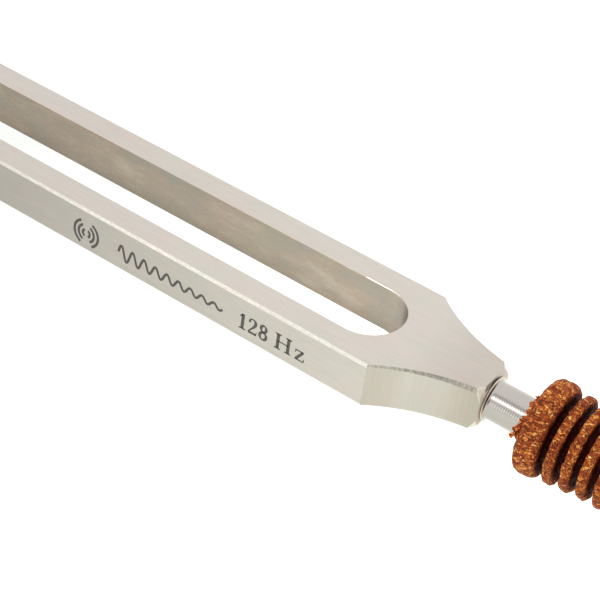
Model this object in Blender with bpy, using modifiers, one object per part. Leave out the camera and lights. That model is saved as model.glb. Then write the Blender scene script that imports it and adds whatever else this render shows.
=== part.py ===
"""Tuning fork, 128 Hz, with a ribbed grip and a pressing foot.

Metres, +Z up. The stem's axis is the X axis. The origin is the centre of the
foot's flat end face, which faces +X, and the tines run to -X. The fork's two
broad faces, which the slot goes through, face +Z and -Z.

Along the axis, from -X to +X: tines, yoke with two hollow shoulders, neck,
bare stem, grip, foot.
"""

import math

import bmesh
import bpy

MM = 0.001

# Driving dimensions -------------------------------------------------------

FORK_WIDTH = 28.0 * MM          # across both tines
FORK_DEPTH = 10.3 * MM          # between the two broad faces
TINE_THICKNESS = 6.1 * MM       # sets the pitch together with the tine length
TINE_LENGTH = 197.0 * MM        # slot's end to tine tip, 128 Hz in steel
EDGE_CHAMFER = 0.55 * MM        # outer edges of the broad faces and tine tips

SHOULDER_START = 9.3 * MM       # from the slot's centre to the first shoulder edge
SHOULDER_END = 27.8 * MM        # from the slot's centre to the end of the hollow arc
SHOULDER_RADIUS = 42.0 * MM     # hollow arc seen from the broad face
NECK_WIDTH = 10.9 * MM
NECK_END = 29.4 * MM            # from the slot's centre to the neck's end face
NECK_FACE_RADIUS = 6.0 * MM     # the turned cone only takes the neck's corners
NECK_CONE_LENGTH = 2.3 * MM
NECK_CONE_RISE = 2.0 * MM

STEM_RADIUS = 4.0 * MM
STEM_CHAMFER = 0.4 * MM
STEM_BARE_LENGTH = 9.6 * MM     # between neck and grip
NECK_SPIGOT_RADIUS = 2.7 * MM
NECK_SPIGOT_LENGTH = 12.0 * MM
FOOT_SPIGOT_RADIUS = 2.2 * MM
FOOT_SPIGOT_LENGTH = 3.4 * MM

GRIP_COLLAR_RADIUS = 9.8 * MM
GRIP_COLLAR_WIDTH = 4.95 * MM
GRIP_RIB_COUNT = 15
GRIP_RIB_PITCH = 3.4 * MM
GRIP_RIB_WIDTH = 2.1 * MM
GRIP_END_RIB_RADIUS = 9.5 * MM
GRIP_WAIST_RADIUS = 8.45 * MM
GRIP_WAIST_POWER = 3.3          # how late the waist opens towards the collars
GRIP_ROOT_RADIUS = 6.1 * MM
GRIP_CORNER = 0.7 * MM          # rib corners
COLLAR_CORNER = 1.3 * MM

FOOT_RADIUS = 8.0 * MM
FOOT_THICKNESS = 6.0 * MM
FOOT_CHAMFER = 0.6 * MM

GAP = 0.3 * MM                  # between pieces that touch
HOLE_EXTRA_DEPTH = 0.6 * MM     # spigot holes are a little deeper than the spigots
OVERRUN = 2.0 * MM              # how far a cutter passes the face that it cuts

ROUND_STEPS = 32
SHOULDER_STEPS = 10
SLOT_STEPS = 20
BEVEL_ANGLE = math.radians(60)
MERGE = 0.00001

# Stations along X, from the foot's face -----------------------------------

GRIP_LENGTH = 2 * GRIP_COLLAR_WIDTH + GRIP_RIB_COUNT * GRIP_RIB_PITCH
GRIP_LENGTH += GRIP_RIB_PITCH - GRIP_RIB_WIDTH
GRIP_X1 = -FOOT_THICKNESS - GAP
GRIP_X0 = GRIP_X1 - GRIP_LENGTH
NECK_X = GRIP_X0 - STEM_BARE_LENGTH
SLOT_X = NECK_X - NECK_END
SLOT_RADIUS = FORK_WIDTH / 2 - TINE_THICKNESS
TIP_X = SLOT_X + SLOT_RADIUS - TINE_LENGTH


# Helpers --------------------------------------------------------------------

def clear_scene():
    for item in list(bpy.data.objects):
        bpy.data.objects.remove(item, do_unlink=True)


def new_collection(name):
    collection = bpy.data.collections.new(name)
    bpy.context.scene.collection.children.link(collection)
    return collection


def new_material(name, colour, roughness, metallic):
    material = bpy.data.materials.new(name)
    material.use_nodes = True
    shader = material.node_tree.nodes["Principled BSDF"]
    shader.inputs["Base Color"].default_value = (*colour, 1.0)
    shader.inputs["Roughness"].default_value = roughness
    shader.inputs["Metallic"].default_value = metallic
    material.diffuse_color = (*colour, 1.0)
    return material


def mesh_object(name, mesh, collection):
    item = bpy.data.objects.new(name, mesh)
    collection.objects.link(item)
    return item


def turned(name, profile, collection, closed=False):
    """Turn (radius, station) points about the X axis.

    The points run along the outside from the highest station to the lowest.
    A closed profile is a ring with a bore.
    """
    mesh = bpy.data.meshes.new(name)
    points = [(radius, 0.0, station) for radius, station in profile]
    edges = [(i, i + 1) for i in range(len(points) - 1)]
    if closed:
        edges.append((len(points) - 1, 0))
    mesh.from_pydata(points, edges, [])
    item = mesh_object(name, mesh, collection)
    item.rotation_euler = (0.0, math.pi / 2, 0.0)
    screw = item.modifiers.new("turn", "SCREW")
    screw.axis = "Z"
    screw.angle = 2 * math.pi
    screw.steps = ROUND_STEPS
    screw.render_steps = ROUND_STEPS
    screw.use_merge_vertices = True
    screw.merge_threshold = MERGE
    screw.use_smooth_shade = True
    return item


def plate(name, outline, depth, collection):
    """A flat outline in X and Y, made as thick as depth and centred on Z = 0."""
    curve = bpy.data.curves.new(name, "CURVE")
    curve.dimensions = "2D"
    curve.fill_mode = "BOTH"
    curve.extrude = depth / 2
    spline = curve.splines.new("POLY")
    spline.points.add(len(outline) - 1)
    for point, (x, y) in zip(spline.points, outline):
        point.co = (x, y, 0.0, 1.0)
    spline.use_cyclic_u = True
    guide = bpy.data.objects.new(name + "_outline", curve)
    collection.objects.link(guide)
    depsgraph = bpy.context.evaluated_depsgraph_get()
    mesh = bpy.data.meshes.new_from_object(guide.evaluated_get(depsgraph))
    mesh.name = name
    bpy.data.objects.remove(guide, do_unlink=True)
    shell = bmesh.new()
    shell.from_mesh(mesh)
    bmesh.ops.remove_doubles(shell, verts=shell.verts, dist=MERGE)
    bmesh.ops.recalc_face_normals(shell, faces=shell.faces)
    shell.to_mesh(mesh)
    shell.free()
    return mesh_object(name, mesh, collection)


def hide_cutter(item):
    item.hide_render = True
    item.display_type = "WIRE"


def boolean(item, cutter, operation):
    cut = item.modifiers.new(cutter.name, "BOOLEAN")
    cut.operation = operation
    cut.solver = "EXACT"
    cut.object = cutter


def arc_between(start, end, radius, steps):
    """Points from start to end on an arc whose centre lies on the left of the way."""
    (x0, y0), (x1, y1) = start, end
    half = math.hypot(x1 - x0, y1 - y0) / 2
    along = ((x1 - x0) / (2 * half), (y1 - y0) / (2 * half))
    reach = math.sqrt(radius ** 2 - half ** 2)
    centre_x = (x0 + x1) / 2 - along[1] * reach
    centre_y = (y0 + y1) / 2 + along[0] * reach
    first = math.atan2(y0 - centre_y, x0 - centre_x)
    sweep = 2 * math.asin(half / radius)
    points = []
    for i in range(steps + 1):
        angle = first + sweep * i / steps
        points.append((centre_x + radius * math.cos(angle), centre_y + radius * math.sin(angle)))
    return points


# Sub-parts -------------------------------------------------------------------

def fork_outline():
    """Both tines and the yoke as one outline, without the slot."""
    half = FORK_WIDTH / 2
    shoulder = arc_between(
        (SLOT_X + SHOULDER_START, half),
        (SLOT_X + SHOULDER_END, NECK_WIDTH / 2),
        SHOULDER_RADIUS,
        SHOULDER_STEPS,
    )
    far_side = [(TIP_X, half), *shoulder, (NECK_X, NECK_WIDTH / 2)]
    near_side = [(x, -y) for x, y in reversed(far_side)]
    return far_side + near_side


def slot_outline():
    """The slot with its round end, open past the tine tips."""
    points = [(TIP_X - OVERRUN, SLOT_RADIUS), (TIP_X - OVERRUN, -SLOT_RADIUS)]
    for i in range(SLOT_STEPS + 1):
        angle = -math.pi / 2 + math.pi * i / SLOT_STEPS
        points.append((SLOT_X + SLOT_RADIUS * math.cos(angle), SLOT_RADIUS * math.sin(angle)))
    return points


def make_fork_body(parts, cutters, material):
    body = plate("fork_body", fork_outline(), FORK_DEPTH, parts)
    body.data.materials.append(material)
    bevel = body.modifiers.new("edge_chamfer", "BEVEL")
    bevel.width = EDGE_CHAMFER
    bevel.segments = 1
    bevel.limit_method = "ANGLE"
    bevel.angle_limit = BEVEL_ANGLE

    slot = plate("slot_cutter", slot_outline(), FORK_DEPTH + 2 * OVERRUN, cutters)
    hide_cutter(slot)
    boolean(body, slot, "DIFFERENCE")

    reach = FORK_WIDTH
    cone_drop = (reach - NECK_FACE_RADIUS) * NECK_CONE_LENGTH / NECK_CONE_RISE
    envelope = turned(
        "neck_cone",
        [
            (0.0, NECK_X),
            (NECK_FACE_RADIUS, NECK_X),
            (reach, NECK_X - cone_drop),
            (reach, TIP_X - OVERRUN),
            (0.0, TIP_X - OVERRUN),
        ],
        cutters,
    )
    hide_cutter(envelope)
    boolean(body, envelope, "INTERSECT")

    hole_radius = NECK_SPIGOT_RADIUS + GAP
    hole_end = NECK_X - NECK_SPIGOT_LENGTH - HOLE_EXTRA_DEPTH
    hole = turned(
        "neck_hole",
        [
            (0.0, NECK_X + OVERRUN),
            (hole_radius, NECK_X + OVERRUN),
            (hole_radius, hole_end),
            (0.0, hole_end - hole_radius / 2),
        ],
        cutters,
    )
    hide_cutter(hole)
    boolean(body, hole, "DIFFERENCE")
    return body


def make_stem(parts, material):
    """A round rod: spigot in the neck, bare length, shank in the grip, spigot in the foot."""
    seat = NECK_X + GAP
    shank_end = GRIP_X1
    profile = [
        (0.0, shank_end + FOOT_SPIGOT_LENGTH),
        (FOOT_SPIGOT_RADIUS, shank_end + FOOT_SPIGOT_LENGTH),
        (FOOT_SPIGOT_RADIUS, shank_end),
        (STEM_RADIUS - STEM_CHAMFER, shank_end),
        (STEM_RADIUS, shank_end - STEM_CHAMFER),
        (STEM_RADIUS, seat + STEM_CHAMFER),
        (STEM_RADIUS - STEM_CHAMFER, seat),
        (NECK_SPIGOT_RADIUS, seat),
        (NECK_SPIGOT_RADIUS, NECK_X - NECK_SPIGOT_LENGTH + STEM_CHAMFER),
        (NECK_SPIGOT_RADIUS - STEM_CHAMFER, NECK_X - NECK_SPIGOT_LENGTH),
        (0.0, NECK_X - NECK_SPIGOT_LENGTH),
    ]
    stem = turned("stem", profile, parts)
    stem.data.materials.append(material)
    return stem


def rib_radius(station):
    """The grip narrows to a waist between its two collars."""
    middle = (GRIP_X0 + GRIP_X1) / 2
    reach = GRIP_LENGTH / 2 - GRIP_COLLAR_WIDTH
    offset = min(abs(station - middle) / reach, 1.0)
    opening = GRIP_END_RIB_RADIUS - GRIP_WAIST_RADIUS
    return GRIP_WAIST_RADIUS + opening * offset ** GRIP_WAIST_POWER


def rib_profile(high, low, radius, corner):
    """One rib's outer points, from the groove above it to the groove below it."""
    return [
        (GRIP_ROOT_RADIUS, high),
        (radius - corner, high),
        (radius, high - corner),
        (radius, low + corner),
        (radius - corner, low),
        (GRIP_ROOT_RADIUS, low),
    ]


def make_grip(parts, material):
    """A turned sleeve on the stem: collar, ribs and grooves, collar."""
    bore = STEM_RADIUS + GAP
    groove = GRIP_RIB_PITCH - GRIP_RIB_WIDTH
    profile = [(bore, GRIP_X1)]
    profile += rib_profile(
        GRIP_X1, GRIP_X1 - GRIP_COLLAR_WIDTH, GRIP_COLLAR_RADIUS, COLLAR_CORNER)[1:]
    for i in range(GRIP_RIB_COUNT):
        high = GRIP_X1 - GRIP_COLLAR_WIDTH - groove - i * GRIP_RIB_PITCH
        low = high - GRIP_RIB_WIDTH
        profile += rib_profile(high, low, rib_radius((high + low) / 2), GRIP_CORNER)
    profile += rib_profile(
        GRIP_X0 + GRIP_COLLAR_WIDTH, GRIP_X0, GRIP_COLLAR_RADIUS, COLLAR_CORNER)[:-1]
    profile.append((bore, GRIP_X0))
    grip = turned("grip", profile, parts, closed=True)
    grip.data.materials.append(material)
    return grip


def make_foot(parts, material):
    """A round foot that is pressed on a body or a sound box, screwed to the stem."""
    hole_radius = FOOT_SPIGOT_RADIUS + GAP
    hole_end = GRIP_X1 + FOOT_SPIGOT_LENGTH + HOLE_EXTRA_DEPTH
    profile = [
        (0.0, 0.0),
        (FOOT_RADIUS - FOOT_CHAMFER, 0.0),
        (FOOT_RADIUS, -FOOT_CHAMFER),
        (FOOT_RADIUS, -FOOT_THICKNESS + FOOT_CHAMFER),
        (FOOT_RADIUS - FOOT_CHAMFER, -FOOT_THICKNESS),
        (hole_radius, -FOOT_THICKNESS),
        (hole_radius, hole_end),
        (0.0, hole_end),
    ]
    foot = turned("foot", profile, parts)
    foot.data.materials.append(material)
    return foot


def main():
    clear_scene()
    parts = new_collection("tuning_fork")
    cutters = new_collection("cutters")
    brushed = new_material("brushed_steel", (0.66, 0.62, 0.56), 0.35, 1.0)
    polished = new_material("polished_steel", (0.74, 0.72, 0.68), 0.18, 1.0)
    granulate = new_material("granulate", (0.32, 0.08, 0.02), 0.55, 0.0)
    make_fork_body(parts, cutters, brushed)
    make_stem(parts, polished)
    make_grip(parts, granulate)
    make_foot(parts, polished)


main()
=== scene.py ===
"""Looks of the 128 Hz tuning fork: brushed steel fork, turned stem and foot, granulate grip.

Metres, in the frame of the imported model: the stem's axis is X, the foot's face is at X = 0,
the tines run to -X and the slot's broad faces look along Z.
"""

import math

import bmesh
import bpy
from mathutils import Matrix, Vector, noise


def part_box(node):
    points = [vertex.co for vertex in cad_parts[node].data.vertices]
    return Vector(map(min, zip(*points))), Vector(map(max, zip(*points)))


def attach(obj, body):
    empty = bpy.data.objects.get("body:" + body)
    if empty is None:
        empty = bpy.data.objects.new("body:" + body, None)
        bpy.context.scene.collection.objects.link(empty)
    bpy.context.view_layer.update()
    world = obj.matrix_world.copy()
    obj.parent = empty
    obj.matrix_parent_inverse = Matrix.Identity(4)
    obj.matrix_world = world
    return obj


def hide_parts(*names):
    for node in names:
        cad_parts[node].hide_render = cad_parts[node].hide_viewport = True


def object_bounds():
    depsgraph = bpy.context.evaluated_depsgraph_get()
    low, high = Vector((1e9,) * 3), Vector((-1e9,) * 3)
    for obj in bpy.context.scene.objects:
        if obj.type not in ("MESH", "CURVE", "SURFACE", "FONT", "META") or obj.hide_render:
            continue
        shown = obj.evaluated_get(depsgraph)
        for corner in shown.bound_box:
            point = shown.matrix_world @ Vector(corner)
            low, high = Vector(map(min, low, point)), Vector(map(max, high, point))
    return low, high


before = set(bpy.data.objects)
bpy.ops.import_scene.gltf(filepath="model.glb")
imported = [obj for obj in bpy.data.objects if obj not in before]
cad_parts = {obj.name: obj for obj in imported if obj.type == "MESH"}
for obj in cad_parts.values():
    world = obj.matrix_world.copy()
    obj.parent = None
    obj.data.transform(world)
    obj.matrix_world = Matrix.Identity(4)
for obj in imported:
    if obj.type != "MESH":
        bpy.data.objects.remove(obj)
CAD_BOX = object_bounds()

MM = 0.001
EPSILON = 0.0001 * MM           # nothing real is this small

# Places and sizes read from the frame ----------------------------------------

FORK_LOW, FORK_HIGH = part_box("fork_body")
GRIP_LOW, GRIP_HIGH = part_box("grip")
STEM_LOW, STEM_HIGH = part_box("stem")
FOOT_LOW, FOOT_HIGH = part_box("foot")

TIP_X = FORK_LOW[0]
NECK_X = FORK_HIGH[0]
HALF_WIDTH = FORK_HIGH[1]
HALF_DEPTH = FORK_HIGH[2]
GRIP_X0, GRIP_X1 = GRIP_LOW[0], GRIP_HIGH[0]
COLLAR_RADIUS = GRIP_HIGH[2]
STEM_RADIUS = STEM_HIGH[2]
FOOT_RADIUS = FOOT_HIGH[2]
FLOOR_Z = CAD_BOX[0][2]

# Fork ------------------------------------------------------------------------

NECK_END = 29.4 * MM            # slot's centre to the neck's end face
SLOT_X = NECK_X - NECK_END
SLOT_RADIUS = 7.9 * MM
SHOULDER_START = SLOT_X + 9.3 * MM
SHOULDER_END = SLOT_X + 27.8 * MM
SHOULDER_RADIUS = 42.0 * MM
NECK_HALF_WIDTH = 5.45 * MM
NECK_FACE_RADIUS = 5.8 * MM
NECK_CONE_SLOPE = 1.0           # length over rise of the turned cone
HOLE_RADIUS = 3.0 * MM
HOLE_DEPTH = 12.6 * MM

TINE_CHAMFER = (0.37 * MM, 0.69 * MM)       # across the broad face, down the side
TIP_CHAMFER = (0.4 * MM, 0.4 * MM)
CHAMFER_STEP = 0.02 * MM                    # length in which the chamfer changes to the next
SHOULDER_CHAMFER = (0.25 * MM, 0.3 * MM)    # where the shoulder starts
NECK_CHAMFER = (0.35 * MM, 1.05 * MM)       # where it runs into the neck
SLOT_CHAMFER = (0.1 * MM, 0.1 * MM)
# The slot's chamfer is wider about the start of the bend, where it carries the painted highlight of
# the lighter edge steel.
GLINT_CHAMFER = (0.13 * MM, 0.13 * MM)       # slot's edges where the wall starts to bend
GLINT_LENGTH = 5.5 * MM                      # of the straight wall before the bend
GLINT_BEND = math.radians(22)                # of the bend itself
EDGE_ROUND = 0.05 * MM
MITRE_LIMIT = 0.3               # keeps a chamfer from running away at a sharp corner

# Looks of the fork's faces, by their place in its list of materials.
ALONG, ACROSS, WALL, FILED, FRESH, EDGE, END = range(7)

# Stem, grip and foot ---------------------------------------------------------

SEAT_X = NECK_X + 0.04 * MM      # a hair's breadth off the neck's end face
BEAD_RADIUS = 0.20 * MM
BEAD_RING_RADIUS = 4.5 * MM
FILLET_STEPS = 8                 # of the fillet from the stem out to the bead
BEAD_STEPS = 12
TURNING_PITCH = 0.5 * MM
TURNING_DEPTH = 0.013 * MM
TURNING_STEPS = 8                # points on each feed mark
STEM_HIDDEN = 1.5 * MM           # feed marks go on this far into the grip
STEM_CHAMFER = 0.4 * MM
STEM_SEGMENTS = 96
FOOT_SPIGOT_RADIUS = 2.2 * MM
NECK_SPIGOT_RADIUS = 2.7 * MM

RIB_COUNT = 15
RIB_PITCH = 3.4 * MM
RIB_WIDTH = 2.1 * MM
COLLAR_WIDTH = 4.95 * MM
END_RIB_RADIUS = 9.5 * MM
WAIST_RADIUS = 8.45 * MM
WAIST_POWER = 3.3
GROOVE_RADIUS = 6.1 * MM
GRIP_SEGMENTS = 208
RIB_ROUND = 0.85 * MM
COLLAR_ROUND = 1.6 * MM
ROUND_STEPS = 6
WALL_STEP = 0.4 * MM
CROWN_STEP = 0.25 * MM
BORE_GAP = 0.05 * MM

FOOT_ROUND = 0.7 * MM
FOOT_HOLE_RADIUS = 2.5 * MM
FOOT_HOLE_DEPTH = 4.0 * MM
FOOT_RINGS = 40
FOOT_ROUND_STEPS = 8
FOOT_SEGMENTS = 128


# Mesh helpers ----------------------------------------------------------------

def from_bmesh(name, shell, *materials):
    mesh = bpy.data.meshes.new(name)
    shell.to_mesh(mesh)
    shell.free()
    for material in materials:
        mesh.materials.append(material)
    item = bpy.data.objects.new(name, mesh)
    bpy.context.scene.collection.objects.link(item)
    return item


def apply_modifiers(item):
    depsgraph = bpy.context.evaluated_depsgraph_get()
    mesh = bpy.data.meshes.new_from_object(item.evaluated_get(depsgraph))
    old = item.data
    item.modifiers.clear()
    item.data = mesh
    bpy.data.meshes.remove(old)


def arc_between(start, end, radius, steps):
    """Points from start to end on an arc whose centre lies on the left of the way."""
    (x0, y0), (x1, y1) = start, end
    half = math.hypot(x1 - x0, y1 - y0) / 2
    along = ((x1 - x0) / (2 * half), (y1 - y0) / (2 * half))
    reach = math.sqrt(radius ** 2 - half ** 2)
    centre_x = (x0 + x1) / 2 - along[1] * reach
    centre_y = (y0 + y1) / 2 + along[0] * reach
    first = math.atan2(y0 - centre_y, x0 - centre_x)
    sweep = 2 * math.asin(half / radius)
    points = []
    for i in range(steps + 1):
        angle = first + sweep * i / steps
        points.append((centre_x + radius * math.cos(angle), centre_y + radius * math.sin(angle)))
    return points


def turned(name, profile, segments, material, closed=False):
    """Turn (radius, station) points about X. They run from the highest station to the lowest."""
    shell = bmesh.new()
    rings = []
    for radius, station in profile:
        if radius < EPSILON:
            rings.append([shell.verts.new((station, 0.0, 0.0))])
            continue
        ring = []
        for i in range(segments):
            angle = 2 * math.pi * i / segments
            ring.append(shell.verts.new(
                (station, radius * math.cos(angle), radius * math.sin(angle))))
        rings.append(ring)
    pairs = list(zip(rings, rings[1:]))
    if closed:
        pairs.append((rings[-1], rings[0]))
    for upper, lower in pairs:
        for i in range(segments):
            j = (i + 1) % segments
            corners = [upper[i % len(upper)], upper[j % len(upper)],
                       lower[j % len(lower)], lower[i % len(lower)]]
            unique = [v for k, v in enumerate(corners) if v not in corners[:k]]
            if len(unique) > 2:
                shell.faces.new(unique)
    bmesh.ops.recalc_face_normals(shell, faces=shell.faces)
    return from_bmesh(name, shell, material)


def shade(item, angle_degrees):
    item.data.shade_smooth()
    item.data.set_sharp_from_angle(angle=math.radians(angle_degrees))


# Material helpers ------------------------------------------------------------

class Nodes:
    """A material's node tree, with short calls to add and join nodes."""

    def __init__(self, name):
        self.material = bpy.data.materials.new(name)
        self.material.use_nodes = True
        self.tree = self.material.node_tree
        self.shader = self.tree.nodes["Principled BSDF"]

    def add(self, kind, **settings):
        node = self.tree.nodes.new(kind)
        for key, value in settings.items():
            setattr(node, key, value)
        return node

    def join(self, source, target):
        self.tree.links.new(source, target)

    def set(self, socket, value):
        self.shader.inputs[socket].default_value = value

    def coordinates(self, scale):
        """Object coordinates, scaled by a number per metre along each axis."""
        place = self.add("ShaderNodeTexCoord")
        mapping = self.add("ShaderNodeMapping")
        mapping.inputs["Scale"].default_value = scale
        self.join(place.outputs["Object"], mapping.inputs["Vector"])
        return mapping.outputs["Vector"]

    def place_along(self, axis):
        """The object coordinate along one axis, in metres."""
        split = self.add("ShaderNodeSeparateXYZ")
        self.join(self.coordinates((1.0, 1.0, 1.0)), split.inputs[0])
        return split.outputs[axis]

    def noise(self, vector, scale, detail=4.0, rough=0.55):
        node = self.add("ShaderNodeTexNoise")
        node.inputs["Scale"].default_value = scale
        node.inputs["Detail"].default_value = detail
        node.inputs["Roughness"].default_value = rough
        self.join(vector, node.inputs["Vector"])
        return node.outputs["Fac"]

    def ramp(self, value, stops):
        """Colours between the stops, which are pairs of position and colour."""
        node = self.add("ShaderNodeValToRGB")
        elements = node.color_ramp.elements
        while len(elements) < len(stops):
            elements.new(1.0)
        for element, (position, colour) in zip(elements, stops):
            element.position = position
            element.color = (*colour, 1.0)
        self.join(value, node.inputs["Fac"])
        return node.outputs["Color"]

    def scale_to(self, value, low, high, source_low, source_high):
        """Bring a value from the source's range to the range from low to high."""
        node = self.add("ShaderNodeMapRange")
        node.inputs["From Min"].default_value = source_low
        node.inputs["From Max"].default_value = source_high
        node.inputs["To Min"].default_value = low
        node.inputs["To Max"].default_value = high
        self.join(value, node.inputs["Value"])
        return node.outputs["Result"]

    def feed(self, value, socket):
        """Join a socket's value to the socket, or set a constant on it."""
        if isinstance(value, bpy.types.NodeSocket):
            self.join(value, socket)
        else:
            socket.default_value = value

    def mix(self, factor, first, second, blend="MIX"):
        """Mix two colours. The mix node has its colour sockets at 6, 7 and 2."""
        node = self.add("ShaderNodeMix", data_type="RGBA", blend_type=blend)
        self.feed(factor, node.inputs[0])
        self.feed(first, node.inputs[6])
        self.feed(second, node.inputs[7])
        return node.outputs[2]

    def tint(self, colour, by):
        return self.mix(1.0, colour, by, "MULTIPLY")

    def math(self, operation, first, second):
        node = self.add("ShaderNodeMath", operation=operation)
        self.feed(first, node.inputs[0])
        self.feed(second, node.inputs[1])
        return node.outputs[0]

    def bump(self, height, strength, distance):
        node = self.add("ShaderNodeBump")
        node.inputs["Strength"].default_value = strength
        node.inputs["Distance"].default_value = distance
        self.join(height, node.inputs["Height"])
        return node.outputs["Normal"]


def dimmed(colour, share):
    return tuple(share * c for c in colour)


# Slow drift between slightly pinkish and slightly greenish steel.
DRIFT = [(0.36, (1.02, 0.988, 0.988)), (0.50, (1.0, 1.0, 1.0)), (0.64, (0.975, 1.0, 0.992))]


def brushed_steel(name, colour, grain, roughness, contrast, stains=None, fades=()):
    """Satin steel with brush strokes. grain is the strokes' count per metre along each axis.

    stains is a ramp. A fade is an axis, its two ends and a ramp of painted shade between them.
    """
    nodes = Nodes(name)
    strokes = nodes.noise(nodes.coordinates(grain), 1.0, detail=6.0, rough=0.7)
    cloud = nodes.noise(nodes.coordinates((60.0, 60.0, 60.0)), 1.0, detail=3.0)
    tone = nodes.ramp(strokes, [
        (0.3, dimmed(colour, 1 - contrast)), (0.7, dimmed(colour, 1 + contrast))])
    wander = nodes.noise(nodes.coordinates((180.0, 300.0, 300.0)), 1.0, detail=3.0)
    tone = nodes.tint(tone, nodes.ramp(wander, DRIFT))
    if stains:
        cover = nodes.noise(nodes.coordinates((85.0, 200.0, 300.0)), 1.0, detail=7.0, rough=0.7)
        tone = nodes.tint(tone, nodes.ramp(cover, stains))
    for axis, start, end, stops in fades:
        share = nodes.scale_to(nodes.place_along(axis), 0.0, 1.0, start, end)
        tone = nodes.tint(tone, nodes.ramp(share, stops))
    nodes.join(tone, nodes.shader.inputs["Base Color"])
    uneven = nodes.math("ADD", nodes.math("MULTIPLY", strokes, 0.6),
                        nodes.math("MULTIPLY", cloud, 0.4))
    low, high = roughness
    nodes.join(nodes.scale_to(uneven, low, high, 0.3, 0.7), nodes.shader.inputs["Roughness"])
    nodes.join(nodes.bump(strokes, 0.35, 0.02 * MM), nodes.shader.inputs["Normal"])
    nodes.set("Metallic", 1.0)
    return nodes.material


def turned_steel(name, colour, roughness, metallic=1.0):
    """Bright steel from the lathe: very fine rings round X. Less metallic is chalky."""
    nodes = Nodes(name)
    rings = nodes.noise(nodes.coordinates((9000.0, 60.0, 60.0)), 1.0, detail=3.0, rough=0.6)
    tone = nodes.ramp(rings, [(0.3, dimmed(colour, 0.94)), (0.7, colour)])
    nodes.join(tone, nodes.shader.inputs["Base Color"])
    low, high = roughness
    nodes.join(nodes.scale_to(rings, low, high, 0.3, 0.7), nodes.shader.inputs["Roughness"])
    nodes.join(nodes.bump(rings, 0.3, 0.01 * MM), nodes.shader.inputs["Normal"])
    nodes.set("Metallic", metallic)
    return nodes.material


SEAM = (0.070, 0.010, 0.004, 1.0)       # binder between the chips
# Layers of chips: cells per millimetre, stretch, turn, share of the cells that show, lightening.
CHIP_LAYERS = (
    (1.35, (1.0, 0.8, 1.2), (0.4, 0.9, 0.2), 1.00, 0.84),
    (1.60, (0.6, 1.4, 1.2), (1.1, 0.3, 0.8), 0.55, 0.98),
    (2.10, (0.5, 1.5, 1.5), (0.2, 1.2, 1.6), 0.50, 1.12),
)
CHIP_COLOURS = (
    (0.00, (0.125, 0.020, 0.006)), (0.25, (0.215, 0.038, 0.009)), (0.50, (0.300, 0.064, 0.012)),
    (0.72, (0.430, 0.115, 0.019)), (0.90, (0.600, 0.230, 0.045)), (1.00, (0.680, 0.350, 0.120)),
)
# Light lost below the crowns. The ramp's whole length is DEEPEST millimetres.
DEEPEST = 3.0
SHADOW = [(0.16, (1.0, 1.0, 1.0)), (0.40, (0.55, 0.35, 0.40)), (0.75, (0.13, 0.04, 0.06))]
GRAIN = [(0.34, (0.50, 0.46, 0.46)), (0.50, (1.0, 1.0, 1.0)), (0.66, (1.45, 1.50, 1.50))]


def granulate(name, lift):
    """Bonded bark and wood granulate: dark red binder with brown, orange and golden chips."""
    nodes = Nodes(name)
    place = nodes.coordinates((1000.0, 1000.0, 1000.0))
    wander = nodes.add("ShaderNodeTexNoise")
    wander.inputs["Scale"].default_value = 0.9
    wander.inputs["Detail"].default_value = 3.0
    nodes.join(place, wander.inputs["Vector"])
    shifted = nodes.add("ShaderNodeVectorMath", operation="MULTIPLY_ADD")
    nodes.join(wander.outputs["Color"], shifted.inputs[0])
    shifted.inputs[1].default_value = (1.1, 1.1, 1.1)
    nodes.join(place, shifted.inputs[2])

    def cells(scale, stretch, turn):
        """Each cell's distance to its border, and two random values of its own."""
        mapping = nodes.add("ShaderNodeMapping")
        mapping.inputs["Scale"].default_value = stretch
        mapping.inputs["Rotation"].default_value = turn
        nodes.join(shifted.outputs[0], mapping.inputs["Vector"])
        whole = nodes.add("ShaderNodeTexVoronoi", feature="F1")
        border = nodes.add("ShaderNodeTexVoronoi", feature="DISTANCE_TO_EDGE")
        for cell in (whole, border):
            cell.inputs["Scale"].default_value = scale
            nodes.join(mapping.outputs[0], cell.inputs["Vector"])
        split = nodes.add("ShaderNodeSeparateColor")
        nodes.join(whole.outputs["Color"], split.inputs["Color"])
        return border.outputs["Distance"], split.outputs["Red"], split.outputs["Green"]

    colour, height = SEAM, 0.0
    for scale, stretch, turn, share, light in CHIP_LAYERS:
        edge, pick, order = cells(scale, stretch, turn)
        chip = nodes.ramp(pick, [(stop, dimmed(c, light)) for stop, c in CHIP_COLOURS])
        face = nodes.scale_to(edge, 0.0, 1.0, 0.02, 0.09)
        shown = nodes.math("LESS_THAN", order, share)
        colour = nodes.mix(shown, colour, nodes.mix(face, SEAM, chip))
        rise = nodes.math("MULTIPLY", nodes.math("MULTIPLY", shown, face), 0.35)
        height = nodes.math("ADD", height, rise)
    # A lift above one lightens the whole colour as painted light.
    colour = nodes.tint(colour, (lift, lift, lift, 1.0))
    depth = nodes.add("ShaderNodeAttribute", attribute_name="depth")
    below = nodes.scale_to(depth.outputs["Fac"], 0.0, 1.0, 0.0, DEEPEST)
    colour = nodes.tint(colour, nodes.ramp(below, SHADOW))
    grain = nodes.noise(place, 4.0, detail=5.0, rough=0.65)
    colour = nodes.tint(colour, nodes.ramp(grain, GRAIN))
    nodes.join(colour, nodes.shader.inputs["Base Color"])
    height = nodes.math("ADD", height, nodes.math("MULTIPLY", grain, 0.5))
    nodes.join(nodes.bump(height, 0.9, 0.12 * MM), nodes.shader.inputs["Normal"])
    nodes.join(nodes.scale_to(grain, 0.5, 0.8, 0.3, 0.7), nodes.shader.inputs["Roughness"])
    nodes.set("Specular IOR Level", 0.09)
    return nodes.material


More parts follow.
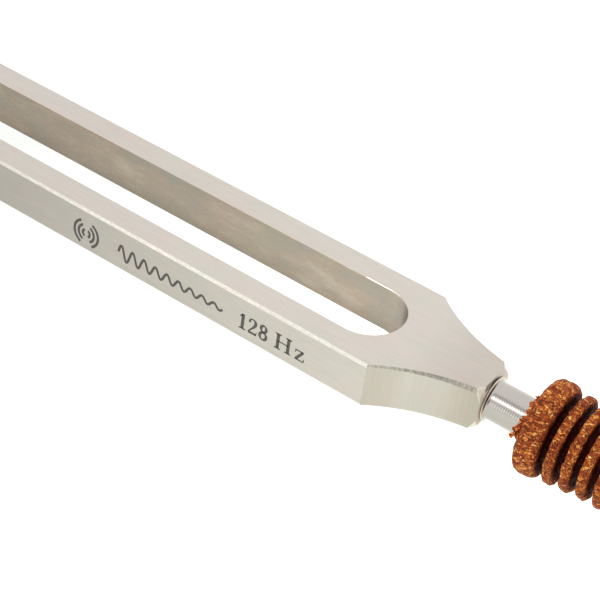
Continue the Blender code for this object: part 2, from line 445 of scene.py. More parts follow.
def engraving_ink(name):
    """Laser-darkened steel."""
    nodes = Nodes(name)
    speck = nodes.noise(nodes.coordinates((5000.0, 5000.0, 5000.0)), 1.0, detail=4.0)
    tone = nodes.ramp(speck, [(0.3, (0.045, 0.041, 0.036)), (0.7, (0.085, 0.076, 0.066))])
    nodes.join(tone, nodes.shader.inputs["Base Color"])
    nodes.join(nodes.bump(speck, 0.4, 0.01 * MM), nodes.shader.inputs["Normal"])
    nodes.set("Metallic", 0.3)
    nodes.set("Roughness", 0.6)
    return nodes.material


# Fork body -------------------------------------------------------------------

SHOULDER_STEPS = 40
SLOT_STEPS = 72


def fork_outline():
    """Corners of the fork seen from +Z, counter-clockwise, each with its chamfer and side."""
    far = [(TIP_X, HALF_WIDTH, TIP_CHAMFER, "tip"),
           (SHOULDER_START - CHAMFER_STEP, HALF_WIDTH, TINE_CHAMFER, "side")]
    arc = arc_between(
        (SHOULDER_START, HALF_WIDTH), (SHOULDER_END, NECK_HALF_WIDTH),
        SHOULDER_RADIUS, SHOULDER_STEPS)
    for i, (x, y) in enumerate(arc):
        share = i / SHOULDER_STEPS
        chamfer = tuple(a + (b - a) * share for a, b in zip(SHOULDER_CHAMFER, NECK_CHAMFER))
        far.append((x, y, chamfer, "shoulder"))
    far.append((NECK_X, NECK_HALF_WIDTH, NECK_CHAMFER, "neck"))
    near = [(x, -y, chamfer, side) for x, y, chamfer, side in far]
    slot = [(TIP_X, -SLOT_RADIUS, SLOT_CHAMFER, "slot"),
            (SLOT_X - GLINT_LENGTH, -SLOT_RADIUS, SLOT_CHAMFER, "glint")]
    for i in range(SLOT_STEPS + 1):
        angle = -math.pi / 2 + math.pi * i / SLOT_STEPS
        glint = math.pi / 2 - abs(angle) < GLINT_BEND
        slot.append((SLOT_X + SLOT_RADIUS * math.cos(angle), SLOT_RADIUS * math.sin(angle),
                     GLINT_CHAMFER if glint else SLOT_CHAMFER, "glint" if glint else "slot"))
    slot += [(SLOT_X - GLINT_LENGTH, SLOT_RADIUS, SLOT_CHAMFER, "glint"),
             (TIP_X, SLOT_RADIUS, SLOT_CHAMFER, "slot")]
    # From the near tip along the near side, round the neck, back along the far side, then the slot.
    return near + far[::-1] + slot[::-1]


def inset(points, index, amount):
    """A corner moved into the material by amount from both of its edges."""
    count = len(points)
    here = Vector(points[index][:2])
    before = (here - Vector(points[index - 1][:2])).normalized()
    after = (Vector(points[(index + 1) % count][:2]) - here).normalized()
    normal_before = Vector((-before.y, before.x))
    normal_after = Vector((-after.y, after.x))
    middle = (normal_before + normal_after).normalized()
    return here + middle * amount / max(MITRE_LIMIT, middle.dot(normal_before))


def face_look(kinds, row):
    """Look of a face between two corners. Row 0 is the lower chamfer, 1 the side, 2 the upper."""
    # The upper chamfers and the slot's chamfers by the bend take the lighter edge steel, a painted
    # highlight.
    if kinds == {"glint"} and row != 1:
        return EDGE
    if kinds <= {"slot", "glint"}:
        return WALL
    if "shoulder" in kinds and "side" not in kinds:
        return FILED if row == 2 else ACROSS
    return EDGE if row == 2 and "neck" not in kinds else ALONG


def fork_prism(materials):
    """The outline raised to the fork's depth, with a chamfer on each broad face's border."""
    points = fork_outline()
    shell = bmesh.new()
    rings = []
    for level in (-1, 1):
        face, side = [], []
        for i, (x, y, (across_face, down_side), _) in enumerate(points):
            inner = inset(points, i, across_face)
            face.append(shell.verts.new((inner.x, inner.y, level * HALF_DEPTH)))
            side.append(shell.verts.new((x, y, level * (HALF_DEPTH - down_side))))
        rings += [face, side] if level < 0 else [side, face]
    shell.faces.new(rings[0][::-1])
    shell.faces.new(rings[3])
    count = len(points)
    for row, (lower, upper) in enumerate(zip(rings, rings[1:])):
        for i in range(count):
            j = (i + 1) % count
            quad = shell.faces.new((lower[i], lower[j], upper[j], upper[i]))
            quad.material_index = face_look({points[i][3], points[j][3]}, row)
    bmesh.ops.recalc_face_normals(shell, faces=shell.faces)
    return from_bmesh("fork_visual", shell, *materials)


CONE_SEGMENTS = 128
HOLE_SEGMENTS = 64


def cut_neck(body, fresh):
    """Turn the cone on the neck's end and drill the hole for the stem's spigot."""
    reach = 2 * HALF_WIDTH
    drop = (reach - NECK_FACE_RADIUS) * NECK_CONE_SLOPE
    cone = turned("cone_cutter", [
        (0.0, NECK_X), (NECK_FACE_RADIUS, NECK_X), (reach, NECK_X - drop),
        (reach, TIP_X - reach), (0.0, TIP_X - reach)], CONE_SEGMENTS, fresh)
    hole = turned("hole_cutter", [
        (0.0, NECK_X + MM), (HOLE_RADIUS, NECK_X + MM), (HOLE_RADIUS, NECK_X - HOLE_DEPTH),
        (0.0, NECK_X - HOLE_DEPTH - MM)], HOLE_SEGMENTS, fresh)
    for cutter, operation in ((cone, "INTERSECT"), (hole, "DIFFERENCE")):
        cut = body.modifiers.new(cutter.name, "BOOLEAN")
        cut.operation = operation
        cut.solver = "EXACT"
        cut.material_mode = "TRANSFER"
        cut.object = cutter
    apply_modifiers(body)
    for cutter in (cone, hole):
        bpy.data.objects.remove(cutter, do_unlink=True)
    for face in body.data.polygons:
        if abs(face.center.x - NECK_X) < EPSILON:
            face.material_index = END


def make_fork_body(materials):
    body = fork_prism(materials)
    cut_neck(body, materials[FRESH])
    rounding = body.modifiers.new("edge_round", "BEVEL")
    rounding.width = EDGE_ROUND
    rounding.segments = 2
    rounding.limit_method = "ANGLE"
    rounding.angle_limit = math.radians(18)
    apply_modifiers(body)
    shade(body, 20)
    body.modifiers.new("flat_faces", "WEIGHTED_NORMAL").keep_sharp = True
    apply_modifiers(body)
    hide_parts("fork_body")
    return body


# Stem ------------------------------------------------------------------------

def make_stem(material, bead_material):
    """The rod, with the lathe's feed marks as fine ridges where it is bare."""
    fillet = BEAD_RING_RADIUS - STEM_RADIUS
    bead_end = SEAT_X + 2 * BEAD_RADIUS
    low = bead_end + fillet
    high = GRIP_X0 + STEM_HIDDEN
    profile = [(0.0, STEM_HIGH[0]), (FOOT_SPIGOT_RADIUS, STEM_HIGH[0]),
               (FOOT_SPIGOT_RADIUS, GRIP_X1), (STEM_RADIUS - STEM_CHAMFER, GRIP_X1),
               (STEM_RADIUS, GRIP_X1 - STEM_CHAMFER)]
    steps = round((high - low) / TURNING_PITCH) * TURNING_STEPS
    for i in range(steps + 1):
        station = high + (low - high) * i / steps
        wave = 0.5 - 0.5 * math.cos(2 * math.pi * (station - low) / TURNING_PITCH)
        profile.append((STEM_RADIUS - TURNING_DEPTH * wave, station))
    for i in range(1, FILLET_STEPS):
        angle = math.pi / 2 * i / FILLET_STEPS
        profile.append((STEM_RADIUS + fillet * (1 - math.cos(angle)),
                        low - fillet * math.sin(angle)))
    for i in range(BEAD_STEPS + 1):
        angle = math.pi * i / BEAD_STEPS
        profile.append((BEAD_RING_RADIUS + BEAD_RADIUS * math.sin(angle),
                        SEAT_X + BEAD_RADIUS * (1 + math.cos(angle))))
    profile += [(NECK_SPIGOT_RADIUS, SEAT_X),
                (NECK_SPIGOT_RADIUS, STEM_LOW[0] + STEM_CHAMFER),
                (NECK_SPIGOT_RADIUS - STEM_CHAMFER, STEM_LOW[0]), (0.0, STEM_LOW[0])]
    stem = turned("stem_visual", profile, STEM_SEGMENTS, material)
    stem.data.materials.append(bead_material)
    for face in stem.data.polygons:
        if SEAT_X - EPSILON < face.center.x < bead_end:
            face.material_index = 1
    shade(stem, 30)
    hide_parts("stem")
    return stem


# Grip ------------------------------------------------------------------------

def rib_radius(station):
    middle = (GRIP_X0 + GRIP_X1) / 2
    reach = (GRIP_X1 - GRIP_X0) / 2 - COLLAR_WIDTH
    offset = min(abs(station - middle) / reach, 1.0)
    return WAIST_RADIUS + (END_RIB_RADIUS - WAIST_RADIUS) * offset ** WAIST_POWER


def rib_profile(high, low, radius, corner, groove_high, groove_low):
    """A rib's outline from its upper groove over its rounded crown to its lower groove."""
    def wall(x, start, stop):
        count = max(1, round(abs(stop - start) / WALL_STEP))
        return [(start + (stop - start) * i / count, x) for i in range(count)]

    points = wall(high, GROOVE_RADIUS, radius - corner) if groove_high else []
    for i in range(ROUND_STEPS + 1):
        angle = math.pi / 2 * i / ROUND_STEPS
        points.append((radius - corner + corner * math.sin(angle),
                       high - corner + corner * math.cos(angle)))
    flat = high - low - 2 * corner
    count = max(1, round(flat / CROWN_STEP))
    for i in range(1, count):
        points.append((radius, high - corner - flat * i / count))
    for i in range(ROUND_STEPS + 1):
        angle = math.pi / 2 * i / ROUND_STEPS
        points.append((radius - corner + corner * math.cos(angle),
                       low + corner - corner * math.sin(angle)))
    if groove_low:
        points += wall(low, radius - corner, GROOVE_RADIUS)[1:]
        points.append((GROOVE_RADIUS, low))
    return points


def make_grip(material):
    bore = STEM_RADIUS + BORE_GAP
    groove = RIB_PITCH - RIB_WIDTH
    profile = [(bore, GRIP_X1)]
    profile += rib_profile(GRIP_X1, GRIP_X1 - COLLAR_WIDTH, COLLAR_RADIUS, COLLAR_ROUND,
                           False, True)
    for i in range(RIB_COUNT):
        high = GRIP_X1 - COLLAR_WIDTH - groove - i * RIB_PITCH
        low = high - RIB_WIDTH
        profile += rib_profile(high, low, rib_radius((high + low) / 2), RIB_ROUND, True, True)
    profile += rib_profile(GRIP_X0 + COLLAR_WIDTH, GRIP_X0, COLLAR_RADIUS, COLLAR_ROUND,
                           True, False)
    profile.append((bore, GRIP_X0))
    grip = turned("grip_visual", profile, GRIP_SEGMENTS, material, closed=True)
    note_depth(grip, profile)
    roughen(grip)
    shade(grip, 180)
    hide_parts("grip")
    return grip


def note_depth(item, profile):
    """Store how many millimetres each ring lies below the crown beside it."""
    reach = RIB_PITCH / 2
    depth = item.data.attributes.new("depth", "FLOAT", "POINT")
    for i, (radius, station) in enumerate(profile):
        crown = max(r for r, x in profile if abs(x - station) < reach)
        for k in range(GRIP_SEGMENTS):
            depth.data[i * GRIP_SEGMENTS + k].value = (crown - radius) / MM


# The granulate's surface: chips and lumps per metre, and how many millimetres each moves it.
CHIP_COUNT = 1150
CHIP_SPREAD = 7.3               # gives neighbouring chips heights of their own
CHIP_MOVE = 0.11
LUMP_COUNT = 450
LUMP_MOVE = 0.10
SEAM_MOVE = 0.07
SEAM_WIDTH = 0.16               # share of a chip
SINK = 0.03                     # leaves the highest chips about level with the CAD's surface
BORE_SKIN = 0.2 * MM            # nothing this near the bore is moved


def roughen(item):
    """Chips standing out of the turned surface, with seams and hollows between them."""
    mesh = item.data
    bore_limit = STEM_RADIUS + BORE_SKIN
    moves = []
    for vertex in mesh.vertices:
        place = vertex.co
        if math.hypot(place.y, place.z) < bore_limit:
            moves.append(0.0)
            continue
        distances, points = noise.voronoi(place * CHIP_COUNT)
        chip = noise.cell(points[0] * CHIP_SPREAD) - 0.5
        lump = noise.noise(place * LUMP_COUNT)
        seam = max(0.0, SEAM_WIDTH - (distances[1] - distances[0])) / SEAM_WIDTH
        moves.append((CHIP_MOVE * chip + LUMP_MOVE * lump - SEAM_MOVE * seam - SINK) * MM)
    normals = [vertex.normal.copy() for vertex in mesh.vertices]
    for vertex, normal, move in zip(mesh.vertices, normals, moves):
        vertex.co += normal * move


# Torn lip round the stem's hole, in millimetres: radius, and distance off the collar.
LIP_RINGS = ((4.0, -0.6), (5.4, -0.5), (5.3, 0.4), (4.7, 1.0), (4.35, 1.5), (4.0, 1.6))
LIP_SEGMENTS = 180
LIP_BORE = 4.1                  # rings within this radius keep to the stem
LIP_TEARS = (1.7, 4.1)          # coarse and fine tears per millimetre
LIP_FINE = 0.6                  # the fine tears' depth to the coarse ones'
LIP_DRAW = 0.8                  # draws the tears out along the stem
LIP_TEAR_OUT, LIP_TEAR_ALONG = 0.4, 0.6
# Crumbs: angle round the stem (90 is up, 180 the near side), distance off the stem, distance
# off the collar, and size, in degrees and millimetres. Each overlaps the lip or another crumb.
CRUMBS = (
    (166, 1.0, 1.2, 0.70), (170, 1.5, 1.7, 0.50), (178, 1.8, 1.6, 0.40), (183.5, 2.0, 2.05, 0.42),
    (175, 1.0, 0.8, 0.80), (187, 1.75, 1.9, 0.36), (152, 0.2, 1.5, 0.45),
)
CRUMB_LUMPS = 1500              # lumps per metre
CRUMB_SPREAD = 9000             # gives each crumb a shape of its own
CRUMB_FINE = 2.7                # fine lumps to each lump's length
CRUMB_SWELL, CRUMB_FINE_SWELL = 0.8, 0.35


def add_lip(shell):
    """A closed ring round the stem, torn by noise."""
    rings = []
    for radius, back in LIP_RINGS:
        ring = []
        for i in range(LIP_SEGMENTS):
            angle = 2 * math.pi * i / LIP_SEGMENTS
            place = Vector((back * LIP_DRAW, radius * math.cos(angle), radius * math.sin(angle)))
            coarse, fine = (noise.noise(place * count) for count in LIP_TEARS)
            torn = coarse + LIP_FINE * fine
            out = radius + (LIP_TEAR_OUT * torn if radius > LIP_BORE else 0.0)
            ring.append(shell.verts.new((
                GRIP_X0 - back * (1.0 + LIP_TEAR_ALONG * torn) * MM,
                out * math.cos(angle) * MM, out * math.sin(angle) * MM)))
        rings.append(ring)
    for upper, lower in zip(rings, rings[1:] + rings[:1]):
        for i in range(LIP_SEGMENTS):
            j = (i + 1) % LIP_SEGMENTS
            shell.faces.new((upper[i], upper[j], lower[j], lower[i]))


def make_crumbs(material):
    """Torn granulate round the hole where the stem enters the grip, and crumbs on it."""
    shell = bmesh.new()
    add_lip(shell)
    for angle_degrees, outward, back, size in CRUMBS:
        angle = math.radians(angle_degrees)
        radius = STEM_RADIUS + outward * MM
        centre = Vector((GRIP_X0 - back * MM, radius * math.cos(angle), radius * math.sin(angle)))
        bit = bmesh.ops.create_icosphere(shell, subdivisions=4, radius=size * MM)["verts"]
        for vertex in bit:
            place = vertex.co * CRUMB_LUMPS + centre * CRUMB_SPREAD
            swell = CRUMB_SWELL * noise.noise(place)
            fine_swell = CRUMB_FINE_SWELL * noise.noise(place * CRUMB_FINE)
            vertex.co = centre + vertex.co * (1.0 + swell + fine_swell)
    bmesh.ops.recalc_face_normals(shell, faces=shell.faces)
    crumbs = from_bmesh("grip_crumbs", shell, material)
    shade(crumbs, 50)
    return crumbs


# Foot ------------------------------------------------------------------------

def make_foot(material):
    back = FOOT_LOW[0] - FOOT_HIGH[0]
    corner = FOOT_ROUND
    profile = [(0.0, 0.0)]
    for i in range(1, FOOT_RINGS):
        profile.append(((FOOT_RADIUS - corner) * i / FOOT_RINGS, 0.0))
    for i in range(FOOT_ROUND_STEPS + 1):
        angle = math.pi / 2 * i / FOOT_ROUND_STEPS
        profile.append((FOOT_RADIUS - corner + corner * math.sin(angle),
                        -corner + corner * math.cos(angle)))
    for i in range(FOOT_ROUND_STEPS + 1):
        angle = math.pi / 2 * i / FOOT_ROUND_STEPS
        profile.append((FOOT_RADIUS - corner + corner * math.cos(angle),
                        back + corner - corner * math.sin(angle)))
    profile += [(FOOT_HOLE_RADIUS, back), (FOOT_HOLE_RADIUS, back + FOOT_HOLE_DEPTH),
                (0.0, back + FOOT_HOLE_DEPTH)]
    foot = turned("foot_visual", profile, FOOT_SEGMENTS, material)
    shade(foot, 35)
    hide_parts("foot")
    return foot


# Engraving -------------------------------------------------------------------

INK_DEPTH = 0.012 * MM
CAP_HEIGHT = 3.75 * MM
BASELINE_Z = -2.6 * MM
NUMBER_X = SLOT_X - 20.1 * MM
UNIT_X = SLOT_X - 11.5 * MM
WAVE_X = (SLOT_X - 50.5 * MM, SLOT_X - 24.0 * MM)
WAVE_CYCLES = 9
WAVE_FADE = 1.3
WAVE_WIDTH = 0.56 * MM
WAVE_STEPS = 260
EMBLEM_X = SLOT_X - 59.0 * MM
EMBLEM_RADII = (0.9, 2.0, 3.1)
EMBLEM_WIDTH = 0.6 * MM
EMBLEM_SPREAD = math.radians(62)
EMBLEM_STEPS = 32

# Strokes of a plain engraver's face, in millimetres above the baseline: points and widths.
THIN, THICK = 0.30, 0.74
GLYPHS = {
    "1": (2.05, [
        ([(0.95, 0.1), (0.95, 3.72)], [THICK, THICK]),
        ([(0.3, 2.95), (0.98, 3.62)], [THIN, THIN]),
        ([(0.2, 0.12), (1.72, 0.12)], [THIN, THIN])]),
    "2": (2.35, [
        ([(0.42, 2.66), (0.36, 3.05), (0.62, 3.5), (1.08, 3.62), (1.5, 3.38), (1.64, 2.85),
          (1.5, 2.25), (1.05, 1.5), (0.55, 0.8), (0.3, 0.3)],
         [0.62, 0.48, 0.34, 0.32, 0.56, 0.72, 0.62, 0.44, 0.34, 0.32]),
        ([(0.22, 0.24), (1.86, 0.24)], [0.56, 0.56]),
        ([(1.84, 0.1), (1.96, 0.95)], [THIN, 0.16])]),
    "8": (2.1, []),
    "H": (4.4, [
        ([(0.85, 0.1), (0.85, 3.65)], [THICK, THICK]),
        ([(3.05, 0.1), (3.05, 3.65)], [THICK, THICK]),
        ([(0.85, 1.92), (3.05, 1.92)], [THIN, THIN]),
        ([(0.2, 0.12), (1.5, 0.12)], [THIN, THIN]),
        ([(2.4, 0.12), (3.7, 0.12)], [THIN, THIN]),
        ([(0.2, 3.63), (1.5, 3.63)], [THIN, THIN]),
        ([(2.4, 3.63), (3.7, 3.63)], [THIN, THIN])]),
    "z": (2.4, [
        ([(0.2, 2.33), (1.92, 2.33)], [THIN, THIN]),
        ([(0.28, 2.4), (0.18, 1.65)], [THIN, 0.16]),
        ([(1.72, 2.3), (0.42, 0.16)], [0.62, 0.62]),
        ([(0.2, 0.12), (2.0, 0.12)], [THIN, THIN]),
        ([(1.96, 0.08), (2.1, 0.9)], [THIN, 0.16])]),
}
LETTER_WIDTH = 1.12
# The figure eight's two loops: centre height, half width, half height.
EIGHT_LOOPS = ((2.78, 0.56, 0.78), (0.99, 0.68, 0.86))
EIGHT_STEPS = 32
EIGHT_THIN, EIGHT_SWELL, EIGHT_SLANT = 0.32, 0.34, 0.35


def lay_on_side(item):
    """Bring a flat drawing in X and Y onto the near side face, reading along +X."""
    item.data.transform(Matrix.Rotation(math.pi / 2, 4, "X"))
    item.data.transform(Matrix.Translation((0.0, -HALF_WIDTH, 0.0)))


def ribbon(shell, line, widths, closed=False):
    """A flat band along a line in X and Y, with INK_DEPTH to each side of Z = 0."""
    rows = []
    count = len(line)
    for i, point in enumerate(line):
        before = line[i - 1] if closed or i else point
        after = line[(i + 1) % count] if closed or i < count - 1 else point
        way = (after - before).normalized()
        aside = Vector((-way.y, way.x)) * widths[i] / 2
        rows.append([
            shell.verts.new((point.x + side * aside.x, point.y + side * aside.y, z))
            for side, z in ((1, INK_DEPTH), (-1, INK_DEPTH), (-1, -INK_DEPTH), (1, -INK_DEPTH))])
    for first, second in zip(rows, rows[1:] + (rows[:1] if closed else [])):
        for k in range(4):
            n = (k + 1) % 4
            shell.faces.new((first[k], first[n], second[n], second[k]))
    if not closed:
        shell.faces.new(rows[0][::-1])
        shell.faces.new(rows[-1])


def smooth_line(points, widths, steps=5):
    """More points on a line through the given ones, by Catmull-Rom curves."""
    if len(points) < 3:
        return [Vector(p) for p in points], list(widths)
    values = [Vector((x, y, w)) for (x, y), w in zip(points, widths)]
    values = [values[0] * 2 - values[1], *values, values[-1] * 2 - values[-2]]
    fine = []
    for a, b, c, d in zip(values, values[1:], values[2:], values[3:]):
        for i in range(steps):
            t = i / steps
            fine.append(0.5 * (2 * b + (c - a) * t + (2 * a - 5 * b + 4 * c - d) * t ** 2
                               + (3 * b - a - 3 * c + d) * t ** 3))
    fine.append(values[-2])
    return [v.xy for v in fine], [v.z for v in fine]


def write_eight(shell, origin):
    """Two loops, each thickest just above its left end and just below its right end."""
    for height, half_width, half_height in EIGHT_LOOPS:
        line, widths = [], []
        for i in range(EIGHT_STEPS):
            angle = 2 * math.pi * i / EIGHT_STEPS
            line.append(origin + Vector((
                LETTER_WIDTH * (1.0 + half_width * math.cos(angle)),
                height + half_height * math.sin(angle))) * MM)
            swell = abs(math.cos(angle + EIGHT_SLANT))
            widths.append((EIGHT_THIN + EIGHT_SWELL * swell) * MM)
        ribbon(shell, line, widths, closed=True)


def write(shell, characters, start_x):
    """The characters from start_x on, standing on the baseline."""
    pen = start_x
    for character in characters:
        advance, strokes = GLYPHS[character]
        origin = Vector((pen, BASELINE_Z))
        for points, widths in strokes:
            line, fine_widths = smooth_line(points, widths)
            ribbon(shell, [origin + Vector((p.x * LETTER_WIDTH, p.y)) * MM for p in line],
                   [w * MM for w in fine_widths])
        if character == "8":
            write_eight(shell, origin)
        pen += advance * LETTER_WIDTH * MM


def add_wave(shell, middle):
    start, stop = WAVE_X
    line = []
    for i in range(WAVE_STEPS + 1):
        share = i / WAVE_STEPS
        swing = math.exp(-WAVE_FADE * share) * math.sin(2 * math.pi * WAVE_CYCLES * share)
        line.append(Vector((start + (stop - start) * share, middle + CAP_HEIGHT / 2 * swing)))
    ribbon(shell, line, [WAVE_WIDTH] * len(line))


def add_emblem(shell, middle):
    """Arcs to both sides, as of sound going out."""
    for radius in EMBLEM_RADII:
        for side in (0.0, math.pi):
            arc = []
            for i in range(EMBLEM_STEPS + 1):
                angle = side + EMBLEM_SPREAD * (2 * i / EMBLEM_STEPS - 1)
                arc.append(Vector((EMBLEM_X + radius * MM * math.cos(angle),
                                   middle + radius * MM * math.sin(angle))))
            ribbon(shell, arc, [EMBLEM_WIDTH] * len(arc))


def finish_mark(name, shell, material):
    bmesh.ops.recalc_face_normals(shell, faces=shell.faces)
    mark = from_bmesh(name, shell, material)
    lay_on_side(mark)
    return mark


def make_engraving(material):
    letters = bmesh.new()
    write(letters, "128", NUMBER_X)
    write(letters, "Hz", UNIT_X)
    signs = bmesh.new()
    middle = BASELINE_Z + CAP_HEIGHT / 2
    add_wave(signs, middle)
    add_emblem(signs, middle)
    return [finish_mark("frequency_mark", letters, material),
            finish_mark("wave_mark", signs, material)]


# Studio ----------------------------------------------------------------------

CAMERA_AIM = Vector((SLOT_X, 0.0, 0.0))
CAMERA_OFFSET = Vector((117.25, -229.47, 213.47)) * MM
CAMERA_TURN = (50.6095, -6.7525, 35.4968)
CAMERA_LENS = 102.83
CAMERA_FILM = 36.0


def make_camera():
    data = bpy.data.cameras.new("camera")
    data.lens = CAMERA_LENS
    data.sensor_width = CAMERA_FILM
    data.clip_start = 0.01
    data.clip_end = 20.0
    camera = bpy.data.objects.new("camera", data)
    bpy.context.scene.collection.objects.link(camera)
    camera.location = CAMERA_AIM + CAMERA_OFFSET
    camera.rotation_euler = [math.radians(a) for a in CAMERA_TURN]
    bpy.context.scene.camera = camera


# Softbox: direction from the camera's aim, distance and size in metres, and radiance.
KEY_LIGHT = ((-0.28, -0.66, 0.70), 1.0, (0.42, 0.23), 2.8)


def make_softbox(direction, distance, size, radiance):
    """A rectangular area light aimed at the camera's aim, as bright as radiance to look at."""
    data = bpy.data.lights.new("key", "AREA")
    data.shape = "RECTANGLE"
    data.size, data.size_y = size
    data.energy = radiance * math.pi * size[0] * size[1]
    lamp = bpy.data.objects.new("key", data)
    bpy.context.scene.collection.objects.link(lamp)
    way = Vector(direction).normalized()
    lamp.location = CAMERA_AIM + way * distance
    lamp.rotation_euler = way.to_track_quat("Z", "Y").to_euler()


# Parts of the white dome that are darker or brighter than the rest: direction, half width and
# half height in degrees, soft border in degrees, and brightness against the dome.
PATCHES = (
    ((-0.25, -0.38, 0.89), 26.0, 4.0, 4.0, 0.50),      # softbox frame, above
    ((-0.25, -0.86, 0.44), 22.0, 7.0, 6.0, 0.80),      # softbox frame, below
    ((0.22, -0.93, 0.15), 14.0, 18.0, 10.0, 0.12),     # where the photographer stands
    ((-0.52, -0.84, 0.18), 14.0, 10.0, 8.0, 1.35),     # window
)
SKY = 1.62
GLOW = (0.80, 1.36)             # floor's own light, towards the tips and towards the grip
GLOW_X = (SLOT_X - 100 * MM, SLOT_X + 10 * MM)
FLOOR_TINT = (0.965, 1.0, 0.95)
FLOOR_SIZE = 4.0
FLOOR_DROP = 0.02 * MM          # below the lowest point of the object


def make_world():
    world = bpy.data.worlds.new("studio")
    bpy.context.scene.world = world
    world.use_nodes = True
    tree = world.node_tree
    background = tree.nodes["Background"]
    background.inputs["Color"].default_value = (1.0, 1.0, 1.0, 1.0)
    place = tree.nodes.new("ShaderNodeTexCoord")

    def calculate(operation, *values, kind="ShaderNodeMath", output=0):
        node = tree.nodes.new(kind)
        node.operation = operation
        for socket, value in zip(node.inputs, values):
            if isinstance(value, bpy.types.NodeSocket):
                tree.links.new(value, socket)
            else:
                socket.default_value = value
        return node.outputs[output]

    def along(axis):
        return calculate("DOT_PRODUCT", place.outputs["Generated"], axis,
                         kind="ShaderNodeVectorMath", output=1)

    def inside(axis, half, soft):
        """One within half an angle of the plane square to axis, falling to zero over soft."""
        offset = calculate("ABSOLUTE", along(axis))
        node = tree.nodes.new("ShaderNodeMapRange")
        node.interpolation_type = "SMOOTHSTEP"
        node.inputs["From Min"].default_value = math.sin(math.radians(half))
        node.inputs["From Max"].default_value = math.sin(math.radians(half + soft))
        node.inputs["To Min"].default_value = 1.0
        node.inputs["To Max"].default_value = 0.0
        tree.links.new(offset, node.inputs["Value"])
        return node.outputs["Result"]

    total = SKY
    for direction, half_width, half_height, soft, brightness in PATCHES:
        centre = Vector(direction).normalized()
        right = Vector((0.0, 0.0, 1.0)).cross(centre).normalized()
        up = centre.cross(right)
        mask = calculate("MULTIPLY", inside(right, half_width, soft), inside(up, half_height, soft))
        mask = calculate("MULTIPLY", mask, calculate("GREATER_THAN", along(centre), 0.0))
        factor = calculate("MULTIPLY_ADD", mask, brightness - 1.0, 1.0)
        total = calculate("MULTIPLY", factor, total)
    tree.links.new(total, background.inputs["Strength"])


def floor_material():
    """White acrylic, lit from behind."""
    nodes = Nodes("floor_white")
    start, end = (x - SLOT_X for x in GLOW_X)
    glow = nodes.scale_to(nodes.place_along("X"), *GLOW, start, end)
    nodes.join(glow, nodes.shader.inputs["Emission Strength"])
    nodes.set("Emission Color", (*FLOOR_TINT, 1.0))
    nodes.set("Base Color", (0.22, 0.22, 0.22, 1.0))
    nodes.set("Roughness", 0.8)
    nodes.set("Specular IOR Level", 0.1)
    return nodes.material


def make_studio():
    shell = bmesh.new()
    bmesh.ops.create_grid(shell, x_segments=1, y_segments=1, size=FLOOR_SIZE)
    floor = from_bmesh("floor", shell, floor_material())
    floor.location = (SLOT_X, 0.0, FLOOR_Z - FLOOR_DROP)
    make_world()
    make_softbox(*KEY_LIGHT)
    bpy.context.scene.view_settings.view_transform = "Standard"


# Assembly --------------------------------------------------------------------

STEEL = (0.425, 0.392, 0.355)

# Ramps that tint the steel: stains in the slot, and painted shade that darkens a face along or
# across it.
STAINS = [(0.36, (0.77, 0.79, 0.77)), (0.50, (0.87, 0.80, 0.73)), (0.66, (1.0, 0.96, 0.90))]
# Painted shade: the slot's wall darker towards its bottom and a little lighter at its top.
LOW_WALL_SHADE = [(0.0, (0.68, 0.66, 0.64)), (0.5, (0.95, 0.93, 0.92)), (1.0, (1.06, 1.05, 1.04))]
# Painted shade: the wall darker into the slot's round end.
SLOT_END_SHADE = [(0.25, (1.0, 1.0, 1.0)), (0.55, (0.84, 0.84, 0.85)), (0.78, (0.50, 0.49, 0.49))]
# Painted shade: the faces in this steel darker towards the neck.
NECK_SHADE = [(0.0, (1.0, 1.0, 1.0)), (0.7, (0.90, 0.885, 0.88)), (1.0, (0.885, 0.865, 0.85))]
# Painted shade: the bright chamfer steel darker towards the tips.
EDGE_TIPWARD_SHADE = [(0.0, (0.84, 0.83, 0.81)), (1.0, (1.0, 1.0, 1.0))]
# Painted shade: the faces in this steel darker towards the tips.
TIPWARD_SHADE = [(0.0, (0.945, 0.940, 0.945)), (1.0, (1.02, 1.02, 1.02))]
# Painted shade: the shoulder's faces darker at both ends, lightest a third of the way along.
SHOULDER_SHADE = [
    (0.03, (0.91, 0.88, 0.84)), (0.18, (0.93, 0.91, 0.87)), (0.33, (0.99, 1.0, 0.98)),
    (0.62, (0.97, 0.97, 0.95)), (0.78, (0.89, 0.87, 0.81)), (0.92, (0.81, 0.80, 0.74))]

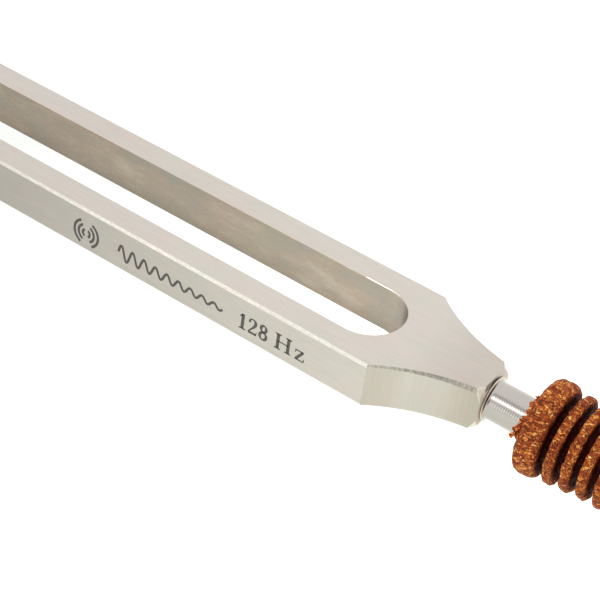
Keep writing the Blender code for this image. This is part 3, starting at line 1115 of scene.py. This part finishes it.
along = brushed_steel("steel_along", STEEL, (150.0, 3400.0, 3400.0), (0.28, 0.42), 0.07,
                      fades=[("X", SLOT_X - 85 * MM, SLOT_X - 10 * MM, TIPWARD_SHADE),
                             ("X", SLOT_X + 13 * MM, SLOT_X + 26 * MM, NECK_SHADE)])
across = brushed_steel("steel_across", STEEL, (2600.0, 2600.0, 90.0), (0.26, 0.42), 0.06,
                       fades=[("X", SHOULDER_START, NECK_X, SHOULDER_SHADE)])
wall = brushed_steel("steel_slot_wall", (0.47, 0.43, 0.385), (900.0, 3400.0, 3400.0),
                     (0.34, 0.5), 0.11, stains=STAINS,
                     fades=[("Z", -HALF_DEPTH, HALF_DEPTH, LOW_WALL_SHADE),
                            ("X", SLOT_X, SLOT_X + SLOT_RADIUS, SLOT_END_SHADE)])
filed = brushed_steel("steel_filed", (0.34, 0.315, 0.27), (2600.0, 2600.0, 90.0), (0.3, 0.6),
                      contrast=0.5)
fresh = turned_steel("steel_fresh", (0.64, 0.59, 0.51), (0.45, 0.60))
end = turned_steel("steel_neck_end", (0.60, 0.52, 0.41), (0.5, 0.65), metallic=0.35)
bead = turned_steel("steel_bead", (0.46, 0.40, 0.33), (0.22, 0.32))
# Lighter than the faces' steel: a painted highlight on the upper chamfers and at the slot's bend.
# It is glossier too.
edge = brushed_steel("steel_edge_highlight", (0.58, 0.555, 0.50), (900.0, 3000.0, 3000.0), (0.14, 0.26),
                     contrast=0.16,
                     fades=[("X", SLOT_X - 78 * MM, SLOT_X - 40 * MM, EDGE_TIPWARD_SHADE)])
bright = turned_steel("steel_turned", (0.355, 0.330, 0.305), (0.14, 0.24))
bark = granulate("granulate", 1.0)
# The lip and crumbs: the granulate lightened 1.8 times, painted light against their own shading.
torn = granulate("granulate_torn_lit", 1.8)
ink = engraving_ink("laser_mark")

pieces = [
    make_fork_body([along, across, wall, filed, fresh, edge, end]),
    make_stem(bright, bead),
    make_grip(bark),
    make_crumbs(torn),
    make_foot(bright),
    *make_engraving(ink),
]
for piece in pieces:
    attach(piece, "root")

make_camera()
make_studio()
